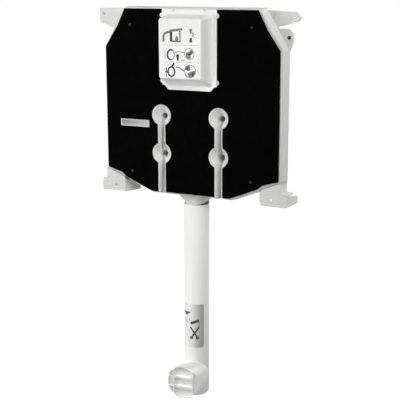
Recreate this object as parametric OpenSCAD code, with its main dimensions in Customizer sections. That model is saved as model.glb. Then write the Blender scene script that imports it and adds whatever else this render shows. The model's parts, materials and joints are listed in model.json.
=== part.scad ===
// Concealed toilet cistern with dual flush valve, fill valve and flush bend.
// Millimetres. X runs along the wall, Y points into the wall, Z is up.
// The origin is the middle of the flat back face, which rests on the wall.

/* [Tank] */
// Half width of the front outline at its sides
tank_side = 202; // [196:1:210]
// Half width of the front outline along its top edge
tank_top_half = 154; // [148:1:160]
// Half width of the front outline along its bottom edge
tank_bottom_half = 93; // [88:1:98]
// Height of the front outline
tank_height = 389; // [380:1:410]
// Height lost by the slanting upper corners
shoulder_drop = 80; // [74:1:86]
// Height lost by the slanting lower corners
hip_rise = 45; // [40:1:50]
// Depth of the tank from the wall to its front face
tank_depth = 76; // [74:1:90]
// Distance of the parting line from the wall
parting_depth = 47; // [45:1:49]
// Thickness of the tank's wall
tank_wall = 3.5; // [3:0.1:4]
// How far the parting line stands out past the front outline
parting_grow = 8; // [6:0.5:9]
// Radius of the outline's corners
tank_corner = 9; // [6:0.5:12]

/* [Ears and lugs] */
// Half of the distance between the ends of the two ears
ear_reach = 232; // [228:1:238]
// Thickness of the ears and the shoulder lug
ear_t = 10; // [8:0.5:12]
// Radius of the fixing hole in each ear
ear_hole_r = 2.6; // [2:0.1:3.5]
// Distance of the fixing hole from the ear's end
ear_hole_inset = 11; // [9:0.5:14]
// Height of the square left ear
ear_height = 29; // [26:0.5:32]
// Radius of the rounded end of the right ear
ear_tip_r = 9.4; // [8:0.1:10]
// How far the shoulder lug stands out past the front outline
lug_grow = 15; // [13:0.5:17]
// Radius of the hole in the shoulder lug
lug_hole_r = 3.5; // [2.5:0.1:4]
// Distance of the lug's hole from the top edge
lug_hole_drop = 54; // [50:1:60]

/* [Wells, grooves and recess] */
// Distance of the wells from the middle
well_x = 67; // [65:0.5:70]
// Radius of the mouth of a well
well_r = 20.5; // [18.5:0.5:22]
// Depth of the cone of a well
well_depth = 11.5; // [10:0.5:13]
// Radius of the hole at the bottom of a well
well_hole_r = 6; // [5:0.5:7]
// Distance of the upper wells below the shaft's flange
well_drop = 55.5; // [50:0.5:58]
// Height from the lower wells to the upper wells
well_pitch = 82; // [78:1:86]
// Half width of a groove at its mouth
groove_half = 7; // [6:0.5:8]
// Half width of a groove at its floor
groove_floor_half = 3; // [2:0.5:4]
// Depth of a groove
groove_depth = 10.5; // [9:0.5:12]
// Width of the lip round wells and grooves
lip_w = 1.8; // [1.2:0.1:2.2]
// Distance of the small recess on the left from the middle
recess_x = 132; // [129:0.5:135]
// Height of the small recess above the bottom edge
recess_rise = 146.5; // [140:0.5:152]
// Width of the small recess
recess_w = 65; // [62:1:70]
// Height of the small recess
recess_h = 10.5; // [9:0.5:13]
// Depth of the small recess
recess_depth = 8; // [6:0.5:10]

/* [Insulation sheet] */
// Thickness of the insulation sheet
sheet_t = 4; // [3:0.5:6]
// Gap between the sheet and what passes through it
sheet_gap = 0.4; // [0.3:0.1:0.8]
// Distance of the insulation pins from the middle
pin_x = 140.5; // [136:0.5:144]
// Distance of the upper pins from the top edge
pin_drop = 34; // [30:1:40]
// Distance of the lower pins from the bottom edge
pin_rise = 40; // [37:1:48]
// Radius of the head of an insulation pin
pin_head_r = 3.2; // [2.8:0.2:4]
// Radius of the stem of an insulation pin
pin_stem_r = 2; // [1.5:0.1:2.4]

/* [Inspection shaft and cover] */
// Width of the opening in the tank
opening_w = 100; // [98:1:104]
// Height of the opening in the tank
opening_h = 138; // [136:1:140]
// Distance of the opening from the top edge
opening_drop = 14.5; // [13:0.5:16]
// Width of the shaft's flange
flange_w = 126; // [122:1:130]
// Height of the shaft's flange
flange_h = 166; // [164:1:170]
// How far the flange stands out of the sheet
flange_proud = 1; // [0.5:0.25:2]
// Wall of the inspection shaft
shaft_wall = 2.5; // [2:0.1:3]
// Length of the shaft in front of its flange
shaft_length = 24; // [18:1:30]
// Radius of the tie holes in the flange's lugs
tie_hole_r = 2; // [1.5:0.1:2.5]
// Width of the cover at its base
cover_base_w = 108; // [106:1:112]
// Width of the cover at its face
cover_face_w = 97; // [95:1:100]
// How far the cover's face stands in front of the sheet
cover_stand = 44; // [40:1:50]
// Wall of the cover
cover_wall = 2; // [1.6:0.1:2.4]

/* [Lower brackets] */
// Distance of a bracket's outer edge from the end of the ear above it
bracket_inset = 13; // [11:0.5:15]
// Width of a bracket
bracket_w = 57.5; // [55:0.5:60]
// Thickness of a bracket's plates
bracket_t = 3.5; // [3:0.1:4]
// Depth of a bracket's side wall from the tank's front
bracket_depth = 66; // [60:1:70]
// Radius of the fixing hole in a bracket
bracket_hole_r = 2.6; // [2:0.1:3.2]
// Radius of a bracket screw's shank
screw_r = 2; // [1.5:0.1:2.4]

/* [Flush bend] */
// Distance of the flush pipe's axis from the wall
pipe_depth = 48; // [47:0.5:49]
// Outer radius of the flush pipe
pipe_r = 28; // [27.5:0.25:30]
// Wall of the flush bend
pipe_wall = 2; // [1.6:0.1:2.4]
// Distance from the tank's bottom edge to the pipe's upper end
pipe_drop = 24; // [22:0.5:28]
// Length of the vertical pipe down to the bottom of the bend
pipe_length = 439; // [380:1:480]
// Height of the socket's axis above the bottom of the bend
socket_rise = 49; // [46:0.5:54]
// Outer radius of the socket
socket_r = 35; // [34:0.25:36]
// Distance of the socket's mouth in front of the pipe's axis
socket_reach = 65; // [60:1:75]
// Radius of the pan connector's bore in the socket seal
connector_r = 22.6; // [22:0.1:23]
// Radius of the protective cap
cap_r = 37; // [36.9:0.1:38]
// Depth of the cap's skirt
cap_skirt = 12; // [9:0.5:14]
// Height of the raised rim and ribs on the cap
cap_rib = 5.2; // [3:0.1:6]
// Distance of the raised rim's flat side from the cap's middle
cap_flat = 26; // [24:0.5:30]

/* [Flush valve] */
// Radius of the outlet bore in the tank
outlet_r = 20; // [19:0.1:20.5]
// Radius of the outlet spigot
spigot_r = 24; // [23:0.1:24.5]
// Outer radius of the valve cage
cage_r = 23; // [22.5:0.1:23.2]
// Height of the valve cage
cage_h = 104; // [95:1:115]
// Outer radius of the overflow tube
overflow_r = 10; // [9:0.1:10.5]
// Distance of the overflow tube's top below the service opening
overflow_drop = 48; // [44:1:60]
// Radius of the lift rod
lift_rod_r = 3; // [2.5:0.1:3.3]
// Radius of the half flush rod
half_rod_r = 2.5; // [2:0.1:2.8]
// Distance of the half flush rod from the middle
half_rod_x = 16; // [15.5:0.1:17]

/* [Levers] */
// Distance of the lever pin from the wall
lever_pin_depth = 24; // [23:0.5:25]
// Radius of the lever pin
lever_pin_r = 2.5; // [2:0.1:3]
// Height of the levers above their pin
lever_height = 69; // [60:1:72]
// Thickness of the lever bracket's plates
lever_plate_t = 3; // [2.5:0.1:3.5]

/* [Fill valve] */
// Distance of the water inlet from the middle
inlet_x = 112; // [108:1:114]
// Distance of the water inlet from the top edge
inlet_drop = 44.5; // [42:0.5:48]
// Radius of the inlet shank
shank_r = 10.48; // [10:0.01:10.6]
// Depth of the niche round the inlet shank
niche_depth = 22; // [20:0.5:23]
// Radius of the fill valve body
fill_r = 14; // [12:0.5:15]
// Length of the float arm from its pin to the float's screw
float_arm_length = 27; // [26:0.5:30]
// Width of the float
float_w = 30; // [26:1:31]
// Height of the float
float_h = 38; // [34:1:42]
// Depth of the float
float_d = 42; // [36:1:44]

/* [Hidden] */
$fn = 64;

// Clearances
skin = 0.02;
over = 1;
seat_gap = 0.2;
run_gap = 0.05;
slide_gap = 0.35;

// Places of the tank's edges and faces
top_z = tank_height / 2;
bottom_z = -tank_height / 2;
shoulder_z = top_z - shoulder_drop;
hip_z = bottom_z + hip_rise;
front_y = -tank_depth;
inner_front_y = front_y + tank_wall;
sheet_y = front_y - sheet_t;
lip_y = sheet_y - sheet_gap;
parting_y = -parting_depth;
edge_depth = 7;
edge_grow = 5;
front_grow = 2;
back_edge_depth = 8;
back_edge_grow = 3;
back_grow = -5;
back_edge_side = -14;
back_side = -19;
top_lip = 4;

// Places on the front
well_floor_step = 2;
recess_z = bottom_z + recess_rise;
recess_rim = 2.2;
recess_low = [-recess_x - recess_w / 2, recess_z - recess_h / 2];
recess_high = [-recess_x + recess_w / 2, recess_z + recess_h / 2];
pin_head_t = 1;
pin_zs = [top_z - pin_drop, bottom_z + pin_rise];
pin_sink = 2.4;

// Corners of the insulation sheet between the outline's main corners
sheet_shoulder_x = 18;
sheet_shoulder_z = 36;
sheet_hip_x = [47, 35];
sheet_hip_z = [25.5, 35];

// Places of the ears and lugs
ear_tip_drop = 4;
ear_tip_x = ear_reach - ear_tip_r;
ear_tip_z = top_z - ear_tip_r - ear_tip_drop;
ear_lap = 14;
ear_root_x = tank_top_half - ear_lap;
ear_crest = 1;
ear_root_drop = 44;
ear_heel_x = 40;
ear_heel_drop = 32;
left_ear_toe = 30;
left_ear_slant = 11;
lug_x = tank_side + lug_grow;
lug_top_drop = 35;
lug_corner_w = 6;
lug_corner_drop = [37, 43];
lug_tail = 18;
lug_heel = 17.5;
lug_hole_inset = 7;
lug_hole_x = lug_x - lug_hole_inset;
lug_hole_z = top_z - lug_hole_drop;
plug_head_t = 1.2;
plug_head_grow = 0.3;
slit_x = tank_top_half + 22;
slit_w = 2;
slit_drop = 7;
slit_h = 12;

// Places of the shaft and its cover
opening_top = top_z - opening_drop;
opening_bottom = opening_top - opening_h;
flange_drop = 0.5;
flange_top = top_z - flange_drop;
flange_bottom = flange_top - flange_h;
flange_y = sheet_y - flange_proud;
well_high_z = flange_bottom - well_drop;
well_low_z = well_high_z - well_pitch;
flange_cut = [14, 9];
flange_step = [6, 1];
cover_base_y = flange_y - seat_gap;
cover_face_y = sheet_y - cover_stand;
cover_top_margin = 10;
cover_bottom_margin = 9;
cover_top_slant = 6;
cover_bottom_slant = 18;
cover_base_top = flange_top - cover_top_margin;
cover_base_bottom = flange_bottom + cover_bottom_margin;
cover_face_top = cover_base_top - cover_top_slant;
cover_face_bottom = cover_base_bottom + cover_bottom_slant;
cover_corner = 6;
cover_edge = 2.5;
tube_half = cover_face_w / 2 - cover_wall - cover_edge;
tube_top = cover_face_top - cover_wall - cover_edge;
tube_bottom = cover_face_bottom + cover_wall + cover_edge;
tie_lug_r = 5;
tie_lug_drop = 12;
tie_lug_rise = 18;
tie_lug_zs = [flange_top - tie_lug_drop, flange_bottom + tie_lug_rise];
tie_hole_shift = 0.5;
latch_x = 36;
latch_w = 7;
latch_h = 3;
latch_depth = 4;
shaft_tail = 3;
hook_rise = 24;
hook_half = 6;
hook_w = 2;

// Places of the lower brackets
slope = (hip_z - bottom_z) / (tank_side - tank_bottom_half);
slope_length = sqrt(1 + slope * slope);
bracket_out = ear_reach - bracket_inset;
bracket_in = bracket_out - bracket_w;
bracket_step_w = 11;
bracket_step = bracket_out - bracket_step_w;
bracket_drop = 8.5;
bracket_bottom = bottom_z - bracket_drop;
bracket_gap = 0.4;
bracket_top_grow = front_grow + (edge_grow - front_grow) * bracket_t / edge_depth + bracket_gap;
bracket_step_drop = 25;
bracket_step_z = slope_z(bracket_step, bracket_top_grow) - bracket_step_drop;
gusset_run = [18, 38];
bracket_hole_inset = 23;
bracket_hole_rise = 13;
bracket_hole_x = bracket_in + bracket_hole_inset;
bracket_hole_z = bracket_bottom + bracket_hole_rise;
bracket_tail_h = 16;
bracket_tail_drop = 2;
shelf_inset = 4;
shelf_lap = 3;
pad_gap = 7.5;
pad_inset = [10.5, 15];
pad_depth = [15, 13];
pad_in = bracket_in + pad_inset[0];
pad_z = slope_z(pad_in, parting_grow) - pad_gap;
pad_out = bracket_out - pad_inset[1];
pad_y0 = parting_y - pad_depth[0];
pad_y1 = parting_y + pad_depth[1];
screw_pitch = 14;
screw_y = (pad_y0 + pad_y1) / 2;
screw_ys = [screw_y - screw_pitch / 2, screw_y + screw_pitch / 2];
screw_x = (pad_in + pad_out) / 2;
screw_head_r = 4;
screw_head_t = 2.5;
screw_sink = 8;
screw_end_gap = 0.5;

// Places of the flush bend
pipe_y = -pipe_depth;
pipe_top = bottom_z - pipe_drop;
pipe_bottom = pipe_top - pipe_length;
pipe_inner_r = pipe_r - pipe_wall;
pipe_round = 11;
socket_z = pipe_bottom + socket_rise;
socket_y = pipe_y - socket_reach;
socket_wall = 4;
socket_seat = 16;
cap_t = 2;
cap_air = 0.3;
cap_y = socket_y - cap_t - cap_air;
cap_rim = 2.5;
cap_rib_t = 3;
cap_rib_x = 22;
cap_rib_z = 11;
socket_cone = 4;
socket_bore_gap = 1.4;
pipe_seal_drop = 22;
pipe_seal_h = 8;

// Places of the flush valve
neck_rise = 3;
neck_end_z = pipe_top + neck_rise;
neck_half = 42;
neck_back = 26;
neck_front = 2;
neck_corner = 16;
spigot_length = 37;
spigot_end = pipe_top - spigot_length;
valve_pad_rise = 4.5;
pad_top = bottom_z + valve_pad_rise;
pad_half = 40;
gasket_t = 2;
seat_z = pad_top + gasket_t;
seat_t = 3.5;
seat_lip_r = 18.5;
seat_lip_t = 1.5;
seat_wall = 3.5;
seat_bore_r = outlet_r - seat_wall;
seat_tail_rise = 12;
seat_tail_z = spigot_end + seat_tail_rise;
cage_z = seat_z + seat_t;
cage_wall = 2;
cage_top_z = cage_z + cage_h;
cage_top_t = 3;
seal_gap = 0.3;
seal_t = 3;
seal_margin = 1.7;
seal_r = cage_r - cage_wall - seal_margin;
seal_z = cage_z + seat_lip_t + seal_gap;
overflow_z = seal_z + seal_t;
overflow_wall = 1.8;
overflow_top = opening_bottom - overflow_drop;
overflow_h = overflow_top - overflow_z;
overflow_foot = 1.5;
window_rise = 5;
window_top = 40;
rod_sink = 10;
bar_drop = 2;
half_rod_sink = 40;
half_rod_foot = 1.5;
half_rod_foot_h = 8;

// Places of the levers
lever_y = -lever_pin_depth;
lever_drop = 11;
lever_z = opening_bottom - lever_drop;
prong_t = 4;
prong_rise = 3;
prong_top = lever_z + prong_rise;
hub_r = 5.5;
rod_gap = 0.5;
prong_w = 3;
collar_z = prong_top + seal_gap;
collar_t = 3.7;
rod_end = 4;
rod_top = collar_z + collar_t + rod_end;
cheek_x = 33;
hub_gap = [3, 1];
hub_end = cheek_x - hub_gap[0];
hub_margin = 0.5;
full_hub = [-hub_end, lift_rod_r + rod_gap + prong_w + hub_margin];
half_hub = [full_hub[1] + hub_gap[1], hub_end];
arm_inset = 2;
full_arm_end = -5;
lever_lean = 17;
lever_arm_t = 5;
lever_arm_lap = 1;
lever_plate_h = 34;
lever_plate_drop = 4;
lever_plate_low = opening_bottom - lever_plate_drop - lever_plate_h;
cheek_foot = 2;
cheek_ear = [7, 6];
cheek_chin = [8, 4];

// Places of the fill valve
inlet_z = top_z - inlet_drop;
niche_half = 20;
niche_y = -niche_depth;
inlet_flange_r = 15;
inlet_gasket_t = 2;
inlet_flange_t = 4;
inlet_flange_y = niche_y - tank_wall - inlet_gasket_t - inlet_flange_t;
shank_length = 17;
shank_end = niche_y + shank_length;
thread_height = 0.4;
shank_neck_r = shank_r - thread_height;
shank_hole_gap = 0.1;
water_r = 6;
nut_r = 15.5;
nut_t = 7;
stop_half = 14;
stop_depth = 26;
stop_y = inlet_flange_y - stop_depth;
stop_mid_y = inlet_flange_y - stop_depth / 2;
handle_t = 6;
handle_length = 26;
handle_half = 4;
handle_gap = 2;
joint_margin = 4;
fill_top = inlet_z - stop_half;
fill_joint = 16;
fill_h = 52;
fill_bottom = fill_top - fill_h;
snout_rise = 20;
snout_z = fill_bottom + snout_rise;
snout_r = 12;
snout_out = 2;
snout_end = -inlet_x - fill_r - snout_out;
snout_bore_r = 3;
fill_cap_t = 6;
fill_cap_step = 2;
fill_tube_r = 7;
fill_tube_wall = 1.5;
fill_tube_rise = 45;
fill_tube_end = bottom_z + fill_tube_rise;
float_pin_gap = 3;
float_pin_x = snout_end - fill_cap_t - float_pin_gap;
float_pin_rise = 1;
float_pin_z = fill_bottom + float_pin_rise;
float_pin_r = 2;
fork_end = 5;
fork_room = [10, 12];
fork_half = 7;
fork_t = 3;
arm_half = 6.5;
arm_t = 4;
arm_hub_r = 5;
float_x = float_pin_x - float_arm_length;
float_drop = 5;
float_top = float_pin_z - float_drop;
float_screw_r = 2;
float_screw_sink = 18;
float_hole_sink = 20;
float_screw_rise = 6;
float_head_r = 4;
float_head_t = 4;
float_collar_r = 5;
arm_end = 7;

// Shared shapes

// Extrudes an X-Z outline between two Y planes
module along_y(y0, y1) {
    translate([0, y1, 0]) rotate([90, 0, 0]) linear_extrude(y1 - y0) children();
}

// A round bar along Y
module rod_y(y0, y1, r) {
    translate([0, y0, 0]) rotate([-90, 0, 0]) cylinder(h = y1 - y0, r = r);
}

// A cone along Y
module cone_y(y0, y1, r0, r1) {
    translate([0, y0, 0]) rotate([-90, 0, 0]) cylinder(h = y1 - y0, r1 = r0, r2 = r1);
}

// A round bar along X
module rod_x(x0, x1, r) {
    translate([x0, 0, 0]) rotate([0, 90, 0]) cylinder(h = x1 - x0, r = r);
}

// A ring about Z
module ring(h, outer, inner) {
    difference() {
        cylinder(h = h, r = outer);
        translate([0, 0, -over]) cylinder(h = h + 2 * over, r = inner);
    }
}

// A box given by two corners
module box(low, high) {
    translate(low) cube(high - low);
}

// A rectangle in the X-Z plane
module area(x0, x1, z0, z1) {
    translate([x0, z0]) square([x1 - x0, z1 - z0]);
}

// An area with rounded corners
module soft_area(x0, x1, z0, z1, r) {
    offset(r = r, $fn = 32) area(x0 + r, x1 - r, z0 + r, z1 - r);
}

// Height of the tank's lower slope at x, a given distance below it
function slope_z(x, drop) = hip_z - (tank_side - x) * slope - drop * slope_length;

// Tank

module tank_outline() {
    polygon([
        [-tank_bottom_half, bottom_z], [tank_bottom_half, bottom_z],
        [tank_side, hip_z], [tank_side, shoulder_z],
        [tank_top_half, top_z], [-tank_top_half, top_z],
        [-tank_side, shoulder_z], [-tank_side, hip_z]
    ]);
}

// One slice of the tank's shape, larger than the front outline by grow and at its sides by side
module tank_slice(y, grow, side, inset) {
    along_y(y, y + skin)
        offset(r = tank_corner, $fn = 24)
        offset(delta = -tank_corner - inset)
        intersection() {
            offset(delta = grow) tank_outline();
            area(-tank_side - side, tank_side + side, -tank_height, top_z + min(grow, top_lip));
        }
}

// The tank's outer shape, or with an inset the space inside its wall
module tank_form(inset) {
    hull() {
        tank_slice(front_y + inset, front_grow, front_grow, inset);
        tank_slice(front_y + edge_depth, edge_grow, edge_grow, inset);
        tank_slice(parting_y, parting_grow, parting_grow, inset);
        tank_slice(-back_edge_depth, back_edge_grow, back_edge_side, inset);
        tank_slice(-inset - skin, back_grow, back_side, inset);
    }
}

// Right ear with a round tip, left ear with a square end
module ears() {
    left_top = top_z - ear_crest;
    left_low = left_top - ear_height;
    along_y(parting_y - ear_t / 2, parting_y + ear_t / 2) {
        polygon([
            [ear_root_x, top_z + ear_crest], [ear_tip_x, ear_tip_z + ear_tip_r],
            [ear_tip_x, ear_tip_z - ear_tip_r], [ear_reach - ear_heel_x, top_z - ear_heel_drop],
            [ear_root_x, top_z - ear_root_drop]
        ]);
        polygon([
            [-ear_root_x, top_z + ear_crest], [-ear_reach, left_top], [-ear_reach, left_low],
            [left_ear_toe - ear_reach, left_low - left_ear_slant], [-ear_root_x, top_z - ear_root_drop]
        ]);
    }
    translate([ear_tip_x, 0, ear_tip_z])
        rod_y(parting_y - ear_t / 2, parting_y + ear_t / 2, ear_tip_r);
}

// Lug between the right ear and the tank's right side
module shoulder_lug() {
    along_y(parting_y - ear_t / 2, parting_y + ear_t / 2)
        polygon([
            [tank_top_half, top_z - lug_top_drop], [lug_x - lug_corner_w, top_z - lug_corner_drop[0]],
            [lug_x, top_z - lug_corner_drop[1]], [lug_x, shoulder_z + lug_heel],
            [tank_side, shoulder_z - lug_tail], [tank_top_half, shoulder_z - lug_tail]
        ]);
}

// Wells with their tie holes; grow thickens them into the tank
module wells(grow, hole_end) {
    for (x = [-well_x, well_x], z = [well_low_z, well_high_z]) translate([x, 0, z]) {
        rod_y(lip_y - over, front_y, well_r + grow);
        cone_y(front_y, front_y + well_depth + grow, well_r + grow, well_hole_r + well_floor_step + grow);
        rod_y(front_y + well_depth, hole_end, well_hole_r + grow);
    }
}

// Grooves from the upper wells to the bottom edge
module grooves(grow) {
    mouth = groove_half + grow;
    floor_half = groove_floor_half + grow;
    floor_y = front_y + groove_depth + grow;
    for (x = [-well_x, well_x]) translate([x, 0, bottom_z - 3 * tank_corner])
        linear_extrude(well_high_z - bottom_z + 3 * tank_corner)
        polygon([
            [-mouth, lip_y - over], [mouth, lip_y - over], [mouth, front_y],
            [floor_half, floor_y], [-floor_half, floor_y], [-mouth, front_y]
        ]);
}

// Raised field that wells and grooves are sunk into
module lips(grow, low_z) {
    for (x = [-well_x, well_x]) {
        for (z = [well_low_z, well_high_z]) translate([x, 0, z])
            rod_y(lip_y, front_y + over, well_r + grow);
        box([x - groove_half - grow, lip_y, low_z],
            [x + groove_half + grow, front_y + over, well_high_z]);
    }
}

module recess(grow, y0, y1) {
    along_y(y0, y1)
        area(recess_low[0] - grow, recess_high[0] + grow, recess_low[1] - grow, recess_high[1] + grow);
}

module niche(grow) {
    box([-inlet_x - niche_half - grow, niche_y - grow, inlet_z - niche_half - grow],
        [-inlet_x + niche_half + grow, over, inlet_z + niche_half + grow]);
}

module outlet_neck() {
    hull() {
        translate([0, 0, bottom_z]) linear_extrude(skin)
            soft_area(-neck_half, neck_half, front_y + neck_front, pipe_y + neck_back, neck_corner);
        translate([0, pipe_y, neck_end_z]) cylinder(h = skin, r = spigot_r, $fn = 48);
    }
    translate([0, pipe_y, spigot_end]) cylinder(h = neck_end_z - spigot_end + skin, r = spigot_r);
}

module bracket_pads() {
    for (side = [0, 1]) mirror([side, 0, 0])
        box([pad_in, pad_y0, pad_z], [pad_out, pad_y1, hip_z]);
}

module tank() color("white") difference() {
    union() {
        tank_form(0);
        ears();
        shoulder_lug();
        outlet_neck();
        bracket_pads();
        lips(lip_w, bottom_z);
        recess(recess_rim, lip_y, front_y + over);
    }
    difference() {
        tank_form(tank_wall);
        wells(tank_wall, over);
        grooves(tank_wall);
        recess(tank_wall, front_y, front_y + recess_depth + tank_wall);
        niche(tank_wall);
        box([-pad_half, front_y, bottom_z - 4 * tank_corner], [pad_half, pipe_y + neck_back, pad_top]);
    }
    wells(0, -tank_wall);
    grooves(0);
    recess(0, lip_y - over, front_y + recess_depth);
    niche(0);
    along_y(front_y - over, inner_front_y + over)
        area(-opening_w / 2, opening_w / 2, opening_bottom, opening_top);
    translate([0, pipe_y, spigot_end - over])
        cylinder(h = pad_top - spigot_end + 2 * over, r = outlet_r);
    translate([-inlet_x, 0, inlet_z])
        rod_y(niche_y - tank_wall - over, niche_y + over, shank_neck_r + shank_hole_gap);
    for (x = [-pin_x, pin_x], z = pin_zs) translate([x, 0, z])
        rod_y(front_y - over, front_y + pin_sink, pin_stem_r);
    for (side = [-1, 1]) {
        translate([side * (ear_reach - ear_hole_inset), 0, ear_tip_z])
            rod_y(parting_y - ear_t, parting_y + ear_t, ear_hole_r);
        for (y = screw_ys) translate([side * screw_x, y, pad_z - over])
            cylinder(h = screw_sink + over, r = screw_r);
    }
    translate([lug_hole_x, 0, lug_hole_z]) rod_y(parting_y - ear_t, parting_y + ear_t, lug_hole_r);
    along_y(parting_y - ear_t, parting_y + ear_t)
        area(slit_x, slit_x + slit_w, top_z - slit_drop - slit_h, top_z - slit_drop);
}

// Plug in the hole of the shoulder lug
module lug_plug() color("#202020") translate([lug_hole_x, parting_y, lug_hole_z]) {
    rod_y(-ear_t / 2 - plug_head_t, -ear_t / 2, lug_hole_r + plug_head_grow);
    rod_y(-ear_t / 2 - plug_head_t / 2, ear_t / 2, lug_hole_r);
}

// Insulation

module front_insulation() color("#1b1b1b") difference() {
    along_y(sheet_y, front_y)
        polygon([
            [-tank_bottom_half, bottom_z], [tank_bottom_half, bottom_z],
            [tank_side - sheet_hip_x[0], bottom_z + sheet_hip_z[0]],
            [tank_side - sheet_hip_x[1], bottom_z + sheet_hip_z[1]],
            [tank_side, hip_z], [tank_side, shoulder_z],
            [tank_top_half + sheet_shoulder_x, top_z - sheet_shoulder_z], [tank_top_half, top_z],
            [-tank_top_half, top_z], [-tank_top_half - sheet_shoulder_x, top_z - sheet_shoulder_z],
            [-tank_side, shoulder_z], [-tank_side, hip_z],
            [sheet_hip_x[1] - tank_side, bottom_z + sheet_hip_z[1]],
            [sheet_hip_x[0] - tank_side, bottom_z + sheet_hip_z[0]]
        ]);
    along_y(sheet_y - over, front_y + over) flange_area(sheet_gap, top_z + over);
    recess(recess_rim + sheet_gap, sheet_y - over, front_y + over);
    for (side = [-1, 1], z = tie_lug_zs) translate([side * flange_w / 2, 0, z])
        rod_y(sheet_y - over, front_y + over, tie_lug_r + sheet_gap);
    translate([0, -over, 0]) lips(lip_w + sheet_gap, bottom_z - over);
    for (x = [-pin_x, pin_x], z = pin_zs) translate([x, 0, z])
        rod_y(sheet_y - over, front_y + over, pin_stem_r);
}

module insulation_pins() color("#2a2a2a")
    for (x = [-pin_x, pin_x], z = pin_zs) translate([x, 0, z]) {
        rod_y(sheet_y - pin_head_t, sheet_y, pin_head_r);
        rod_y(sheet_y - pin_head_t / 2, front_y + pin_sink, pin_stem_r);
    }

// Inspection shaft and cover

// Outline of the shaft's flange, with stepped and cut lower corners
module flange_area(grow, top) {
    half = flange_w / 2 + grow;
    low = flange_bottom - grow;
    knee = low + flange_cut[1];
    polygon([
        [-half + flange_cut[0], low], [half - flange_cut[0], low], [half - flange_step[0], knee],
        [half, knee + flange_step[1]], [half, top], [-half, top], [-half, knee + flange_step[1]],
        [-half + flange_step[0], knee]
    ]);
}

module inspection_shaft() color("white") difference() {
    union() {
        along_y(flange_y, front_y) flange_area(0, flange_top);
        for (side = [-1, 1], z = tie_lug_zs) translate([side * flange_w / 2, 0, z])
            rod_y(flange_y, front_y, tie_lug_r);
        along_y(flange_y - shaft_length, flange_y + over)
            area(-tube_half, tube_half, tube_bottom, tube_top);
        along_y(front_y - over, inner_front_y + shaft_tail)
            area(-opening_w / 2 + seat_gap, opening_w / 2 - seat_gap,
                opening_bottom + seat_gap, opening_top - seat_gap);
        for (side = [0, 1], z = [opening_bottom + hook_rise, opening_top - hook_rise]) mirror([side, 0, 0])
            box([opening_w / 2 - hook_w, inner_front_y + seat_gap / 2, z - hook_half],
                [opening_w / 2 + hook_w, inner_front_y + shaft_tail, z + hook_half]);
    }
    along_y(flange_y - shaft_length - over, inner_front_y + shaft_tail + over)
        area(-tube_half + shaft_wall, tube_half - shaft_wall,
            tube_bottom + shaft_wall, tube_top - shaft_wall);
    for (side = [-1, 1], z = tie_lug_zs) translate([side * (flange_w / 2 + tie_hole_shift), 0, z])
        rod_y(flange_y - over, front_y + over, tie_hole_r);
    for (x = [-latch_x, latch_x])
        box([x - latch_w / 2, flange_y - over, flange_top - latch_h],
            [x + latch_w / 2, front_y + over, top_z]);
}

// The cover's tapered form, or with an inset the space inside it
module cover_form(inset) {
    base = cover_base_w / 2 - inset;
    face = cover_face_w / 2 - inset;
    r = cover_corner - inset / 2;
    face_y = cover_face_y + inset;
    hull() {
        along_y(cover_base_y - skin, cover_base_y + inset)
            soft_area(-base, base, cover_base_bottom + inset, cover_base_top - inset, r);
        along_y(face_y + cover_edge, face_y + cover_edge + skin)
            soft_area(-face, face, cover_face_bottom + inset, cover_face_top - inset, r);
        along_y(face_y, face_y + skin)
            soft_area(cover_edge - face, face - cover_edge, cover_face_bottom + inset + cover_edge,
                cover_face_top - inset - cover_edge, r);
    }
}

module shaft_cover() color("white") difference() {
    cover_form(0);
    cover_form(cover_wall);
    for (x = [-latch_x, latch_x])
        box([x - latch_w / 2, cover_base_y - latch_depth, cover_base_top - 2 * cover_wall],
            [x + latch_w / 2, cover_base_y + over, cover_base_top + over]);
}

// Lower brackets

// Slanting inner wall of the right bracket, cut off below the tank
module bracket_gusset() intersection() {
    inner_end = bracket_in - gusset_run[0];
    rear_y = front_y + gusset_run[1];
    clear = parting_grow + bracket_gap;
    translate([0, 0, bracket_bottom]) linear_extrude(hip_z - bracket_bottom)
        polygon([
            [bracket_in, front_y], [bracket_in + bracket_t, front_y],
            [inner_end + bracket_t, rear_y], [inner_end, rear_y]
        ]);
    along_y(front_y - over, rear_y + over)
        polygon([
            [inner_end, bracket_bottom - over], [bracket_out, bracket_bottom - over],
            [bracket_out, slope_z(bracket_out, clear)], [inner_end, slope_z(inner_end, clear)]
        ]);
}

// The right bracket: front plate, shelf under the tank's pad, side wall and gusset
module lower_bracket() difference() {
    union() {
        bracket_gusset();
        along_y(front_y, front_y + bracket_t)
            polygon([
                [bracket_in, bracket_bottom], [bracket_out, bracket_bottom],
                [bracket_out, bracket_step_z], [bracket_step, bracket_step_z],
                [bracket_step, slope_z(bracket_step, bracket_top_grow)],
                [bracket_in, slope_z(bracket_in, bracket_top_grow)]
            ]);
        box([bracket_in + shelf_inset, front_y + bracket_t / 2, pad_z - bracket_t],
            [bracket_out - bracket_t / 2, pad_y1 + shelf_lap, pad_z]);
        translate([bracket_out - bracket_t, 0, 0]) rotate([90, 0, 90]) linear_extrude(bracket_t)
            polygon([
                [front_y, bracket_bottom], [front_y + bracket_depth, bracket_bottom - bracket_tail_drop],
                [front_y + bracket_depth, bracket_bottom - bracket_tail_drop + bracket_tail_h],
                [front_y, bracket_step_z]
            ]);
    }
    translate([bracket_hole_x, 0, bracket_hole_z])
        rod_y(front_y - over, front_y + bracket_t + over, bracket_hole_r);
    for (y = screw_ys) translate([screw_x, y, pad_z - bracket_t - over])
        cylinder(h = bracket_t + 2 * over, r = screw_r + seat_gap);
}

module lower_bracket_right() color("white") lower_bracket();

module lower_bracket_left() color("white") mirror([1, 0, 0]) lower_bracket();

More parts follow.
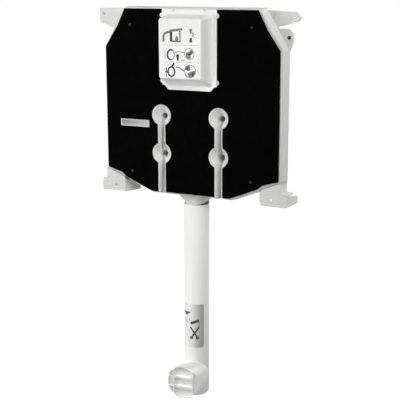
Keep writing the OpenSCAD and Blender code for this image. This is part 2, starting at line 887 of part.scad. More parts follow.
module bracket_screws() color("silver")
    for (side = [-1, 1], y = screw_ys) translate([side * screw_x, y, pad_z - bracket_t]) {
        translate([0, 0, -screw_head_t]) cylinder(h = screw_head_t, r = screw_head_r);
        translate([0, 0, -screw_head_t / 2])
            cylinder(h = screw_head_t / 2 + bracket_t + screw_sink - screw_end_gap, r = screw_r);
    }

// Flush bend

// Turned form of the vertical pipe with its closed round bottom, or the space inside it
module pipe_form(inset, top) {
    r = pipe_r - inset;
    round_r = pipe_round - inset;
    low = pipe_bottom + inset;
    translate([0, pipe_y, 0]) rotate_extrude()
        polygon(concat(
            [[0, top], [r, top]],
            [for (a = [0 : 15 : 90]) [r - round_r * (1 - cos(a)), low + round_r * (1 - sin(a))]],
            [[0, low]]
        ));
}

module flush_bend() color("white") difference() {
    union() {
        pipe_form(0, pipe_top);
        translate([0, 0, socket_z]) {
            rod_y(socket_y, pipe_y - pipe_r / 2, socket_r);
            cone_y(pipe_y - pipe_r / 2, pipe_y + pipe_r / 2, socket_r, pipe_r - socket_cone);
        }
    }
    pipe_form(pipe_wall, pipe_top + over);
    translate([0, 0, socket_z]) {
        rod_y(socket_y - over, pipe_y, connector_r + socket_bore_gap);
        rod_y(socket_y - over, socket_y + socket_seat, socket_r - socket_wall);
    }
}

module pipe_seal() color("#303030")
    translate([0, pipe_y, pipe_top - pipe_seal_drop])
        ring(pipe_seal_h, pipe_inner_r - run_gap, spigot_r + run_gap);

module socket_seal() color("#303030")
    translate([0, socket_y + socket_seat, socket_z]) rotate([90, 0, 0])
        ring(socket_seat - over, socket_r - socket_wall, connector_r);

// A round bar in front of the cap's disc with a flat side, smaller than the raised rim by inset
module cap_field(front, inset) intersection() {
    rod_y(front, cap_y + over, cap_r - inset);
    box([-2 * cap_r, front, -cap_r], [cap_flat - inset, cap_y + over, cap_r]);
}

module elbow_cap() color("white") translate([0, 0, socket_z]) {
    rib_y = cap_y - cap_rib;
    difference() {
        rod_y(cap_y, cap_y + cap_skirt + cap_t, cap_r);
        rod_y(cap_y + cap_t, cap_y + cap_skirt + cap_t + over, socket_r + slide_gap);
    }
    difference() {
        cap_field(rib_y, 0);
        translate([0, -over, 0]) cap_field(rib_y, cap_rim);
    }
    intersection() {
        cap_field(rib_y, cap_rim / 2);
        along_y(rib_y, cap_y + over) {
            area(-cap_rib_x - cap_rib_t / 2, -cap_rib_x + cap_rib_t / 2, -cap_r, cap_r);
            for (side = [-1, 1])
                area(-cap_r, cap_r, side * cap_rib_z - cap_rib_t / 2, side * cap_rib_z + cap_rib_t / 2);
        }
    }
}

// Flush valve

module valve_seat() color("#d8d8d4") translate([0, pipe_y, 0]) difference() {
    union() {
        translate([0, 0, seat_z]) cylinder(h = seat_t, r = cage_r + seat_gap);
        translate([0, 0, seat_z]) cylinder(h = seat_t + seat_lip_t, r = seat_lip_r);
        translate([0, 0, seat_tail_z]) cylinder(h = seat_z - seat_tail_z, r = outlet_r - run_gap);
    }
    translate([0, 0, spigot_end]) cylinder(h = tank_height, r = seat_bore_r);
}

module seat_gasket() color("#303030")
    translate([0, pipe_y, pad_top]) ring(gasket_t, cage_r + seat_gap, outlet_r + run_gap);

module valve_cage() color("#cfd4d6") translate([0, pipe_y, cage_z]) difference() {
    union() {
        ring(cage_h, cage_r, cage_r - cage_wall);
        translate([0, 0, cage_h - cage_top_t]) cylinder(h = cage_top_t, r = cage_r);
    }
    translate([0, 0, cage_h - 2 * cage_top_t])
        cylinder(h = 3 * cage_top_t, r = overflow_r + slide_gap);
    translate([half_rod_x, 0, cage_h - 2 * cage_top_t])
        cylinder(h = 3 * cage_top_t, r = half_rod_r + slide_gap);
    for (a = [45 : 90 : 315]) rotate([0, 0, a])
        box([0, -cage_r / 2, window_rise], [2 * cage_r, cage_r / 2, window_top]);
}

module overflow_tube() color("#e3c34b") translate([0, pipe_y, overflow_z]) difference() {
    union() {
        cylinder(h = overflow_h, r = overflow_r);
        cylinder(h = seal_t, r = seat_lip_r - overflow_foot);
    }
    translate([0, 0, -over]) cylinder(h = overflow_h + 2 * over, r = overflow_r - overflow_wall);
}

module flush_seal() color("#303030")
    translate([0, pipe_y, seal_z]) ring(seal_t, seal_r, overflow_r - overflow_wall);

module lift_rod() color("#e3c34b") translate([0, pipe_y, 0]) {
    inner = overflow_r - overflow_wall - seat_gap;
    low = overflow_top - rod_sink;
    translate([0, 0, low]) cylinder(h = rod_top - low, r = lift_rod_r);
    box([-inner, -lift_rod_r / 2, low], [inner, lift_rod_r / 2, overflow_top - bar_drop]);
    translate([0, 0, collar_z]) cylinder(h = collar_t, r = lift_rod_r + rod_gap + prong_w);
}

module half_flush_rod() color("#4d7fb5") translate([half_rod_x, pipe_y, 0]) {
    low = cage_top_z - half_rod_sink;
    translate([0, 0, low]) cylinder(h = rod_top - low, r = half_rod_r);
    translate([0, 0, low]) cylinder(h = half_rod_foot_h, r = half_rod_r + half_rod_foot);
    translate([0, 0, collar_z]) cylinder(h = collar_t, r = half_rod_r + rod_gap + prong_w);
}

// Levers

module lever_bracket() color("#cfd4d6") difference() {
    union() {
        box([-cheek_x - lever_plate_t, inner_front_y, lever_plate_low],
            [cheek_x + lever_plate_t, inner_front_y + lever_plate_t, lever_plate_low + lever_plate_h]);
        for (side = [0, 1]) mirror([side, 0, 0])
            translate([cheek_x, 0, 0]) rotate([90, 0, 90]) linear_extrude(lever_plate_t)
            polygon([
                [inner_front_y + over, lever_plate_low + cheek_foot], [lever_y, lever_z - cheek_chin[0]],
                [lever_y + cheek_ear[0], lever_z - cheek_chin[1]],
                [lever_y + cheek_ear[0], lever_z + cheek_ear[1]],
                [inner_front_y + over, lever_z + cheek_ear[1]]
            ]);
    }
    translate([0, lever_y, lever_z])
        rod_x(-cheek_x - 2 * lever_plate_t, cheek_x + 2 * lever_plate_t, lever_pin_r);
}

module lever_pin() color("silver") translate([0, lever_y, lever_z])
    rod_x(-cheek_x - lever_plate_t - over, cheek_x + lever_plate_t + over, lever_pin_r);

// A bell crank: hub, upright push arm and two prongs under a rod's collar
module flush_lever(hub, arm, rod_x_place, rod_r) difference() {
    union() {
        translate([0, lever_y, lever_z]) rod_x(hub[0], hub[1], hub_r);
        translate([arm[0], 0, 0]) rotate([90, 0, 90]) linear_extrude(arm[1] - arm[0])
            polygon([
                [lever_y - lever_arm_t, lever_z], [lever_y + lever_arm_lap, lever_z],
                [lever_y - lever_lean + lever_arm_t, lever_z + lever_height],
                [lever_y - lever_lean, lever_z + lever_height]
            ]);
        for (side = [-1, 1])
            translate([rod_x_place + side * (rod_r + rod_gap + prong_w / 2), 0, 0])
            box([-prong_w / 2, pipe_y, prong_top - prong_t], [prong_w / 2, lever_y, prong_top]);
    }
    translate([0, lever_y, lever_z]) rod_x(hub[0] - over, hub[1] + over, lever_pin_r + run_gap);
}

module full_flush_lever() color("#e9e9e6")
    flush_lever(full_hub, [full_hub[0] + arm_inset, full_arm_end], 0, lift_rod_r);

module half_flush_lever() color("#4d7fb5")
    flush_lever(half_hub, [half_hub[0] + arm_inset, half_hub[1] - arm_inset], half_rod_x, half_rod_r);

// Fill valve

module inlet_shank() color("#c9a85a") translate([-inlet_x, 0, inlet_z]) difference() {
    union() {
        rod_y(inlet_flange_y, shank_end - over, shank_neck_r);
        rod_y(niche_y + nut_t, shank_end, shank_r);
        rod_y(inlet_flange_y, inlet_flange_y + inlet_flange_t, inlet_flange_r);
    }
    rod_y(inlet_flange_y - over, over, water_r);
}

module inlet_gasket() color("#303030") translate([-inlet_x, 0, inlet_z]) difference() {
    rod_y(niche_y - tank_wall - inlet_gasket_t, niche_y - tank_wall, inlet_flange_r);
    rod_y(niche_y - niche_depth, over, shank_neck_r);
}

module inlet_nut() color("#c9a85a") translate([-inlet_x, 0, inlet_z]) difference() {
    translate([0, niche_y, 0]) rotate([-90, 0, 0]) cylinder(h = nut_t, r = nut_r, $fn = 6);
    rod_y(niche_y - over, over, shank_neck_r);
}

module stop_valve_body() color("#c9a85a") translate([-inlet_x, 0, 0]) difference() {
    union() {
        box([-stop_half, stop_y, inlet_z - stop_half], [stop_half, inlet_flange_y, inlet_z + stop_half]);
        translate([0, stop_mid_y, fill_top - fill_joint + joint_margin])
            cylinder(h = fill_joint, r = stop_half - joint_margin);
    }
    translate([0, 0, inlet_z]) rod_y(stop_mid_y, over, water_r);
    translate([0, stop_mid_y, fill_bottom]) cylinder(h = inlet_z - fill_bottom, r = water_r);
}

module stop_valve_handle() color("#3c6fae") translate([-inlet_x, 0, inlet_z]) {
    rod_y(stop_y - handle_t - seat_gap, stop_y - seat_gap, stop_half - joint_margin);
    box([-handle_length, stop_y - handle_t - seat_gap, -handle_half],
        [0, stop_y - handle_gap, handle_half]);
}

module fill_valve_body() color("#e9e9e6") difference() {
    union() {
        translate([-inlet_x, stop_mid_y, fill_bottom])
            cylinder(h = fill_h - fill_joint + joint_margin, r = fill_r);
        translate([0, stop_mid_y, snout_z]) rod_x(snout_end, -inlet_x, snout_r);
        for (side = [-1, 1]) translate([0, stop_mid_y + side * (fork_half + fork_t / 2), 0])
            along_y(-fork_t / 2, fork_t / 2)
            polygon([
                [float_pin_x - fork_end, float_pin_z - fork_end], [-inlet_x, fill_bottom],
                [-inlet_x, snout_z], [float_pin_x - fork_end, float_pin_z + fork_end]
            ]);
    }
    translate([-inlet_x, stop_mid_y, fill_bottom - over])
        cylinder(h = fill_h + over, r = fill_tube_r - fill_tube_wall);
    translate([float_pin_x, stop_mid_y, float_pin_z])
        rod_y(-fork_half - 2 * fork_t, fork_half + 2 * fork_t, float_pin_r);
    translate([0, stop_mid_y, snout_z]) rod_x(snout_end - over, -inlet_x, snout_bore_r);
    box([float_pin_x - fork_room[0], stop_mid_y - fork_half, fill_bottom - fork_room[0]],
        [snout_end, stop_mid_y + fork_half, float_pin_z + fork_room[1]]);
}

module fill_valve_cap() color("#4d7fb5") translate([0, stop_mid_y, snout_z]) difference() {
    rod_x(snout_end - fill_cap_t, snout_end, snout_r - fill_cap_step);
    rod_x(snout_end - fill_cap_t - over, snout_end + over, snout_bore_r);
}

module fill_tube() color("#e9e9e6") translate([-inlet_x, stop_mid_y, fill_tube_end])
    ring(fill_bottom - fill_tube_end, fill_tube_r, fill_tube_r - fill_tube_wall);

module float_pin() color("silver") translate([float_pin_x, stop_mid_y, float_pin_z])
    rod_y(-fork_half - fork_t - over, fork_half + fork_t + over, float_pin_r);

module float_arm() color("#e9e9e6") translate([0, stop_mid_y, 0]) difference() {
    union() {
        translate([float_pin_x, 0, float_pin_z]) rod_y(-arm_half, arm_half, arm_hub_r);
        box([float_x - arm_end, -arm_half, float_pin_z - arm_t / 2],
            [float_pin_x, arm_half, float_pin_z + arm_t / 2]);
    }
    translate([float_pin_x, 0, float_pin_z])
        rod_y(-2 * arm_half, 2 * arm_half, float_pin_r + run_gap);
    translate([float_x, 0, float_pin_z - arm_t]) cylinder(h = 2 * arm_t, r = float_screw_r);
}

module float() color("#4d7fb5") difference() {
    box([float_x - float_w / 2, stop_mid_y - float_d / 2, float_top - float_h],
        [float_x + float_w / 2, stop_mid_y + float_d / 2, float_top]);
    translate([float_x, stop_mid_y, float_top - float_hole_sink])
        cylinder(h = float_hole_sink + over, r = float_screw_r);
}

module float_screw() color("#e9e9e6") translate([float_x, stop_mid_y, 0]) {
    low = float_top - float_screw_sink;
    translate([0, 0, low]) cylinder(h = float_pin_z + float_screw_rise - low, r = float_screw_r);
    translate([0, 0, float_pin_z + arm_t / 2]) cylinder(h = float_head_t, r = float_head_r);
    translate([0, 0, float_top]) cylinder(h = float_pin_z - arm_t / 2 - float_top, r = float_collar_r);
}

tank();
front_insulation();
insulation_pins();
inspection_shaft();
shaft_cover();
lower_bracket_left();
lower_bracket_right();
bracket_screws();
flush_bend();
pipe_seal();
socket_seal();
elbow_cap();
lug_plug();
valve_seat();
seat_gasket();
valve_cage();
overflow_tube();
flush_seal();
lift_rod();
lever_bracket();
lever_pin();
full_flush_lever();
half_flush_lever();
half_flush_rod();
inlet_shank();
inlet_nut();
inlet_gasket();
stop_valve_body();
stop_valve_handle();
fill_valve_body();
fill_valve_cap();
fill_tube();
float_arm();
float_pin();
float();
float_screw();
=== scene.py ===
import json
import math
import bpy
import bmesh
from mathutils import Matrix, Vector


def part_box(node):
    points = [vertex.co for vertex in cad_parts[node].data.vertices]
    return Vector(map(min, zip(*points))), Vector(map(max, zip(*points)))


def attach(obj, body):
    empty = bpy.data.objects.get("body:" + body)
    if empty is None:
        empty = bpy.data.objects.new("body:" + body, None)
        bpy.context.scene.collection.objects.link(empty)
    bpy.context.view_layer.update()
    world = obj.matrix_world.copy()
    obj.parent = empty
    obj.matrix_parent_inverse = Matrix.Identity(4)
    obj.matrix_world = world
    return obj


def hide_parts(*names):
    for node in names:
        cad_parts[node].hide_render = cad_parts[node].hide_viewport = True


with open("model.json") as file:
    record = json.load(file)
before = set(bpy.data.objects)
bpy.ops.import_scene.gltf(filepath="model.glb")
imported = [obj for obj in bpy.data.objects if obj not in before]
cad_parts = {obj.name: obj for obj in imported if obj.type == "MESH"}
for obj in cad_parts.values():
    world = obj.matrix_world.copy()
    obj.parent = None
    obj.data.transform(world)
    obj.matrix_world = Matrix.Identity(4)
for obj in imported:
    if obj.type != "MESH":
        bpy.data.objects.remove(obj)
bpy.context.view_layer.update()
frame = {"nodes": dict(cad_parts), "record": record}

scene = bpy.context.scene
nodes = frame["nodes"]
mm = 0.001
scene.view_settings.view_transform = "Standard"

# Camera, fitted to the photograph's frame
view = {"azimuth": 26.417, "elevation": 12.843, "roll": -0.117, "focalPx": 983.0, "imagePx": 400,
        "target": (0.02437, -0.08, -0.20352), "distance": 2.08975, "sensor": 36, "far": 50}

def addCamera(v):
    az, el, roll = (math.radians(v[k]) for k in ("azimuth", "elevation", "roll"))
    back = Vector((math.sin(az) * math.cos(el), -math.cos(az) * math.cos(el), math.sin(el)))
    right = Vector((math.cos(az), math.sin(az), 0))
    up = back.cross(right)
    turnedRight = right * math.cos(roll) + up * math.sin(roll)
    turnedUp = up * math.cos(roll) - right * math.sin(roll)
    data = bpy.data.cameras.new("photoCamera")
    data.sensor_width = v["sensor"]
    data.lens = v["focalPx"] / v["imagePx"] * v["sensor"]
    data.clip_end = v["far"]
    cam = bpy.data.objects.new("photoCamera", data)
    scene.collection.objects.link(cam)
    pose = Matrix((turnedRight, turnedUp, back)).transposed().to_4x4()
    pose.translation = Vector(v["target"]) + back * v["distance"]
    cam.matrix_world = pose
    scene.camera = cam

addCamera(view)
print("camera set")

# One node of a shader or geometry tree: sockets are linked, plain values are set
def addNode(tree, kind, links, **settings):
    node = tree.nodes.new(kind)
    for key, value in settings.items():
        setattr(node, key, value)
    for key, value in links.items():
        if isinstance(value, bpy.types.NodeSocket):
            tree.links.new(value, node.inputs[key])
        else:
            node.inputs[key].default_value = value
    return node.outputs

# Finishes: colour and shade mix in patches, roughness spans a range, bump has its own grain
innerPlastic = {"patch": 40, "grain": 1300, "depth": 0.00006}
inkFilm = {"patch": 300, "rough": (0.45, 0.6), "grain": 2500, "depth": 0.00003, "specular": 0.15}
finishes = {
    # tankPlastic is a darker copy of the same white plastic as coverPlastic and pipePlastic:
    # partly the tank's own greyer moulding, partly painted shade for its less-lit sides
    "tankPlastic": {"colour": (0.7, 0.7, 0.688), "shade": (0.66, 0.66, 0.646), "patch": 9,
                    "rough": (0.34, 0.46), "grain": 420, "depth": 0.00012},
    "coverPlastic": {"colour": (0.89, 0.89, 0.88), "shade": (0.86, 0.86, 0.848), "patch": 14,
                     "rough": (0.3, 0.38), "grain": 1500, "depth": 0.00005},
    "pipePlastic": {"colour": (0.92, 0.92, 0.912), "shade": (0.895, 0.895, 0.886), "patch": 22,
                    "rough": (0.42, 0.54), "grain": 700, "depth": 0.00006,
                    "stretch": (1, 1, 0.04)},
    "foamBlack": {"colour": (0.0014, 0.0014, 0.0015), "shade": (0.0008, 0.0008, 0.0009),
                  "patch": 60, "rough": (0.86, 0.98), "grain": 900, "depth": 0.0003,
                  "cells": True, "specular": 0.02},
    "pinPlastic": {"colour": (0.012, 0.012, 0.013), "shade": (0.007, 0.007, 0.008), "patch": 200,
                   "rough": (0.5, 0.65), "grain": 1800, "depth": 0.00005, "specular": 0.2},
    "sealRubber": {"colour": (0.018, 0.018, 0.019), "shade": (0.028, 0.028, 0.028), "patch": 120,
                   "rough": (0.6, 0.8), "grain": 1600, "depth": 0.00008, "specular": 0.3},
    "greyPlastic": {"colour": (0.56, 0.59, 0.61), "shade": (0.5, 0.53, 0.55),
                    "rough": (0.36, 0.5), **innerPlastic},
    "yellowPlastic": {"colour": (0.76, 0.55, 0.09), "shade": (0.7, 0.49, 0.07),
                      "rough": (0.34, 0.48), **innerPlastic},
    "ivoryPlastic": {"colour": (0.8, 0.79, 0.74), "shade": (0.74, 0.73, 0.68),
                     "rough": (0.38, 0.52), **innerPlastic},
    "bluePlastic": {"colour": (0.06, 0.17, 0.42), "shade": (0.05, 0.14, 0.36),
                    "rough": (0.34, 0.48), **innerPlastic},
    "turnedBrass": {"colour": (0.74, 0.56, 0.26), "shade": (0.6, 0.44, 0.19), "patch": 90,
                    "rough": (0.24, 0.42), "grain": 2600, "depth": 0.00005,
                    "stretch": (0.3, 1, 0.3), "metallic": 1.0},
    "zincSteel": {"colour": (0.66, 0.67, 0.68), "shade": (0.54, 0.55, 0.57), "patch": 160,
                  "rough": (0.26, 0.44), "grain": 2200, "depth": 0.00004, "metallic": 1.0},
    "stickerPaper": {"colour": (0.82, 0.82, 0.81), "shade": (0.79, 0.79, 0.78), "patch": 50,
                     "rough": (0.42, 0.55), "grain": 2500, "depth": 0.00003},
    "printInk": {"colour": (0.03, 0.03, 0.033), "shade": (0.06, 0.06, 0.063), **inkFilm},
    "printTint": {"colour": (0.15, 0.15, 0.153), "shade": (0.22, 0.22, 0.222), **inkFilm},
    # labelFilm runs from colour to shade across X: painted shade, lighter on the lit edge of the
    # pipe
    "labelFilm": {"colour": (0.84, 0.84, 0.83), "shade": (0.4, 0.4, 0.395), "patch": 30,
                  "rough": (0.2, 0.3), "grain": 800, "depth": 0.00005, "paintedShadeAcross": (0.0, 0.022)},
}
usualFinish = {"stretch": (1, 1, 1), "metallic": 0.0, "specular": 0.5, "cells": False}
texture = {"patchDetail": 4, "patchEnds": (0.35, 0.65), "grainDetail": 3, "bump": 0.6,
           "paintedShadeEnds": (0.7, 0.3), "paintedShadeNoise": 0.12}

def makeFinish(name, own):
    f = {**usualFinish, **own}
    mat = bpy.data.materials.new(name)
    mat.use_nodes = True
    tree = mat.node_tree
    shader = tree.nodes["Principled BSDF"].inputs
    shader["Metallic"].default_value = f["metallic"]
    shader["Specular IOR Level"].default_value = f["specular"]
    coord = addNode(tree, "ShaderNodeTexCoord", {})["Object"]
    spot = addNode(tree, "ShaderNodeMapping", {"Vector": coord, "Scale": f["stretch"]})["Vector"]

    patches = {"Vector": spot, "Scale": f["patch"], "Detail": texture["patchDetail"]}
    tone = addNode(tree, "ShaderNodeTexNoise", patches)["Fac"]  # broad tone changes
    if "paintedShadeAcross" in f:  # painted shade: the film's colour is painted darker toward one edge, where the pipe turns from the light
        across = addNode(tree, "ShaderNodeSeparateXYZ", {"Vector": coord})["X"]
        (fromMin, fromMax), (toMin, toMax) = f["paintedShadeAcross"], texture["paintedShadeEnds"]
        paintedShadeSlide = addNode(tree, "ShaderNodeMapRange",
                        {"Value": across, "From Min": fromMin, "From Max": fromMax,
                         "To Min": toMin, "To Max": toMax})["Result"]
        tone = addNode(tree, "ShaderNodeMix",
                       {"Factor": texture["paintedShadeNoise"], "A": paintedShadeSlide, "B": tone})["Result"]
    ramp = tree.nodes.new("ShaderNodeValToRGB")
    low, high = ramp.color_ramp.elements
    low.position, high.position = texture["patchEnds"]
    low.color, high.color = (*f["shade"], 1), (*f["colour"], 1)
    tree.links.new(tone, ramp.inputs["Fac"])
    tree.links.new(ramp.outputs["Color"], shader["Base Color"])

    grain = {"Vector": spot, "Scale": f["grain"]}
    if f["cells"]:  # open cells of cut foam
        height = addNode(tree, "ShaderNodeTexVoronoi", grain)["Distance"]
    else:  # mould grain
        grain["Detail"] = texture["grainDetail"]
        height = addNode(tree, "ShaderNodeTexNoise", grain)["Fac"]
    smooth, dull = f["rough"]
    rough = addNode(tree, "ShaderNodeMapRange",
                    {"Value": height, "To Min": smooth, "To Max": dull})["Result"]
    tree.links.new(rough, shader["Roughness"])
    bump = addNode(tree, "ShaderNodeBump", {"Height": height, "Strength": texture["bump"],
                                            "Distance": f["depth"]})["Normal"]
    tree.links.new(bump, shader["Normal"])
    return mat

materials = {name: makeFinish(name, f) for name, f in finishes.items()}
print("finishes made:", len(materials))

# Which finish and record slot each solid takes
finishOfSlot = {"white_plastic": "tankPlastic", "black_foam": "foamBlack",
                "black_plastic": "pinPlastic", "black_rubber": "sealRubber",
                "grey_plastic": "greyPlastic", "yellow_plastic": "yellowPlastic",
                "ivory_plastic": "ivoryPlastic", "blue_plastic": "bluePlastic",
                "brass": "turnedBrass", "steel": "zincSteel"}
slotOf = {p["node"]: p["material_slot"] for p in frame["record"]["subparts"]}
bodies = frame["record"]["behaviour"]["bodies"]
bodyOf = {n: b for b, members in bodies.items() for n in members}
for nodeName, solid in nodes.items():
    solid.data.materials.clear()
    solid.data.materials.append(materials[finishOfSlot[slotOf[nodeName]]])

def place(obj, finish, bodyName, replaced=()):
    if finish:
        obj.data.materials.clear()
        obj.data.materials.append(materials[finish])
    if obj.name not in scene.collection.objects:
        scene.collection.objects.link(obj)
    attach(obj, bodyName)
    if replaced:
        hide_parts(*replaced)
    return obj

# Moulded and machined pieces: the solids with edges rounded by width, in mm; edges inside a
# "keep" box stay sharp
moulded = {
    "tankShell": {"node": "tank", "finish": "tankPlastic", "width": 0.7,
                  "keep": ((-60, -80, -260), (60, -15, -186))},
    "shaftFrame": {"node": "inspection_shaft", "finish": "coverPlastic", "width": 0.5},
    "coverShell": {"node": "shaft_cover", "finish": "coverPlastic", "width": 0.7, "sink": 0.3},
    "leftBracket": {"node": "lower_bracket_left", "finish": "tankPlastic", "width": 0.8},
    "rightBracket": {"node": "lower_bracket_right", "finish": "tankPlastic", "width": 0.8},
    "flushBend": {"node": "flush_bend", "finish": "pipePlastic", "width": 0.8},
    "elbowCap": {"node": "elbow_cap", "finish": "coverPlastic", "width": 0.5},
    "lugPlug": {"node": "lug_plug", "finish": "sealRubber", "width": 0.3},
    "foamSheet": {"node": "front_insulation", "finish": "foamBlack", "width": 1.1},
    "valveSeat": {"node": "valve_seat", "finish": "greyPlastic", "width": 0.4},
    "valveCage": {"node": "valve_cage", "finish": "greyPlastic", "width": 0.4},
    "overflowTube": {"node": "overflow_tube", "finish": "yellowPlastic", "width": 0.4},
    "flushSeal": {"node": "flush_seal", "finish": "sealRubber", "width": 0.6},
    "liftRod": {"node": "lift_rod", "finish": "yellowPlastic", "width": 0.3},
    "leverBracket": {"node": "lever_bracket", "finish": "greyPlastic", "width": 0.4},
    "fullLever": {"node": "full_flush_lever", "finish": "ivoryPlastic", "width": 0.5},
    "halfLever": {"node": "half_flush_lever", "finish": "bluePlastic", "width": 0.5},
    "halfRod": {"node": "half_flush_rod", "finish": "bluePlastic", "width": 0.3},
    "inletNut": {"node": "inlet_nut", "finish": "turnedBrass", "width": 0.6},
    "stopBody": {"node": "stop_valve_body", "finish": "turnedBrass", "width": 0.8},
    "stopHandle": {"node": "stop_valve_handle", "finish": "bluePlastic", "width": 0.7},
    "fillBody": {"node": "fill_valve_body", "finish": "ivoryPlastic", "width": 0.4},
    "fillCap": {"node": "fill_valve_cap", "finish": "bluePlastic", "width": 0.6},
    "floatArm": {"node": "float_arm", "finish": "ivoryPlastic", "width": 0.4},
    "floatBlock": {"node": "float", "finish": "bluePlastic", "width": 2.0},
    "floatScrew": {"node": "float_screw", "finish": "ivoryPlastic", "width": 0.3},
    "pipeSeal": {"node": "pipe_seal", "finish": "sealRubber", "width": 0.3},
    "socketSeal": {"node": "socket_seal", "finish": "sealRubber", "width": 0.3},
    "seatGasket": {"node": "seat_gasket", "finish": "sealRubber", "width": 0.3},
    "inletGasket": {"node": "inlet_gasket", "finish": "sealRubber", "width": 0.3},
    "inletShank": {"node": "inlet_shank", "finish": "turnedBrass", "width": 0.3},
    "leverPin": {"node": "lever_pin", "finish": "zincSteel", "width": 0.3},
    "floatPin": {"node": "float_pin", "finish": "zincSteel", "width": 0.3},
    "fillTube": {"node": "fill_tube", "finish": "ivoryPlastic", "width": 0.2},
}
rounding = {"sharp": 32, "flat": 0.6, "segments": 2, "profile": 0.5, "shortest": 0.6,
            "crease": 50, "merge": 2e-6}
# The tank's grooves and wells, some sizes by side: -1 is left, 1 is right
channels = {"x": 67, "frontY": -76, "wall": 3.5, "floorDepth": 10.5, "floorHalf": 3,
            "newHalf": {-1: 2.4, 1: 1.8}, "skew": {-1: 4.6, 1: 3.6}, "deeper": {-1: 1.0, 1: 7.0},
            "wellZ": (-27.5, -109.5), "wellDepth": 11.5, "holeR": 6, "coneR": 8,
            "holeShift": {-1: (1.0, 4.0, -3.5), 1: (1.0, 10.0, -3.5)},
            "coneShift": (0.4, -0.5, -1.5), "near": 0.06}
capRibs = {"axisZ": -608.5, "discY": -115.3, "fromAxis": 11, "half": 1.5, "newHalf": 2.8,
           "fromX": -30, "near": 0.06}

def insideBox(point, box):
    return all(low * mm < p < high * mm for p, low, high in zip(point, *box))

def shapeChannels(bm, c):  # groove floors lie outward and the wells end in funnels
    moves = {}
    for v in bm.verts:
        side = math.copysign(1, v.co.x)
        x, y, z = abs(v.co.x) / mm - c["x"], v.co.y / mm - c["frontY"], v.co.z / mm
        for grow in (0, c["wall"]):
            half = c["floorHalf"] + grow
            if abs(y - c["floorDepth"] - grow) < c["near"] and abs(x) < half + c["near"]:
                outward = c["skew"][side] + x * ((c["newHalf"][side] + grow) / half - 1)
                moves[v] = Vector((side * outward, c["deeper"][side], 0)) * mm
        if abs(y - c["wellDepth"]) < c["near"]:
            off = min(math.hypot(x, z - wellZ) for wellZ in c["wellZ"])
            rings = ((c["holeR"], c["holeShift"][side]), (c["coneR"], c["coneShift"]))
            for radius, shift in rings:
                if abs(off - radius) < c["near"]:
                    moves[v] = Vector((side * shift[0], shift[1], shift[2])) * mm
    bmesh.ops.triangulate(bm, faces=list({f for v in moves for f in v.link_faces}))
    for v, shift in moves.items():
        v.co += shift
    bm.normal_update()

def widenRibs(bm, c):  # the cap's two cross ribs get broader
    for v in bm.verts:
        z = v.co.z / mm - c["axisZ"]
        off = abs(z) - c["fromAxis"]
        onRib = v.co.y / mm < c["discY"] + c["near"] and v.co.x / mm > c["fromX"]
        if onRib and abs(abs(off) - c["half"]) < c["near"]:
            v.co.z += math.copysign(c["newHalf"] - c["half"], off) * math.copysign(mm, z)
    bm.normal_update()

def sinkFront(mesh, depth):  # room for the sticker inside the solid's own box
    rear = max(v.co.y for v in mesh.vertices)
    front = min(v.co.y for v in mesh.vertices)
    shrink = (rear - front - depth) / (rear - front)
    for v in mesh.vertices:
        v.co.y = rear + (v.co.y - rear) * shrink

def softCopy(name, m, r):
    mesh = nodes[m["node"]].data.copy()
    mesh.name = name
    bm = bmesh.new()
    bm.from_mesh(mesh)
    bmesh.ops.remove_doubles(bm, verts=bm.verts, dist=r["merge"])
    bmesh.ops.dissolve_limit(bm, angle_limit=math.radians(r["flat"]), verts=bm.verts,
                             edges=bm.edges)
    if m["node"] == "tank":
        shapeChannels(bm, channels)
    if m["node"] == "elbow_cap":
        widenRibs(bm, capRibs)
    edges = [e for e in bm.edges
             if len(e.link_faces) == 2 and e.calc_length() > r["shortest"] * mm
             and e.calc_face_angle(0) > math.radians(r["sharp"])]
    if "keep" in m:
        edges = [e for e in edges if not any(insideBox(v.co, m["keep"]) for v in e.verts)]
    bmesh.ops.bevel(bm, geom=edges, offset=m["width"] * mm, offset_type="OFFSET",
                    segments=r["segments"], profile=r["profile"], affect="EDGES",
                    clamp_overlap=False)
    bmesh.ops.remove_doubles(bm, verts=bm.verts, dist=r["merge"])
    bmesh.ops.dissolve_degenerate(bm, dist=r["merge"], edges=bm.edges)
    for face in bm.faces:
        face.smooth = True
    bm.to_mesh(mesh)
    bm.free()
    mesh.set_sharp_from_angle(angle=math.radians(r["crease"]))
    if "sink" in m:
        sinkFront(mesh, m["sink"] * mm)
    obj = bpy.data.objects.new(name, mesh)
    obj.modifiers.new("evenShading", "WEIGHTED_NORMAL").keep_sharp = True
    return place(obj, m["finish"], bodyOf[m["node"]], [m["node"]])

for pieceName, settings in moulded.items():
    made = softCopy(pieceName, settings, rounding)
print("moulded pieces:", len(moulded))

# Meshes from points in mm, and their closing: doubles merged, normals outward, edges creased
def meshOf(name, points, faces=()):
    mesh = bpy.data.meshes.new(name)
    mesh.from_pydata([tuple(c * mm for c in p) for p in points], [], list(faces))
    return mesh

def closeMesh(mesh):
    bm = bmesh.new()
    bm.from_mesh(mesh)
    bmesh.ops.remove_doubles(bm, verts=bm.verts, dist=rounding["merge"])
    bmesh.ops.dissolve_degenerate(bm, dist=rounding["merge"], edges=bm.edges)
    bmesh.ops.recalc_face_normals(bm, faces=bm.faces)
    for face in bm.faces:
        face.smooth = True
    bm.to_mesh(mesh)
    bm.free()
    mesh.set_sharp_from_angle(angle=math.radians(rounding["crease"]))

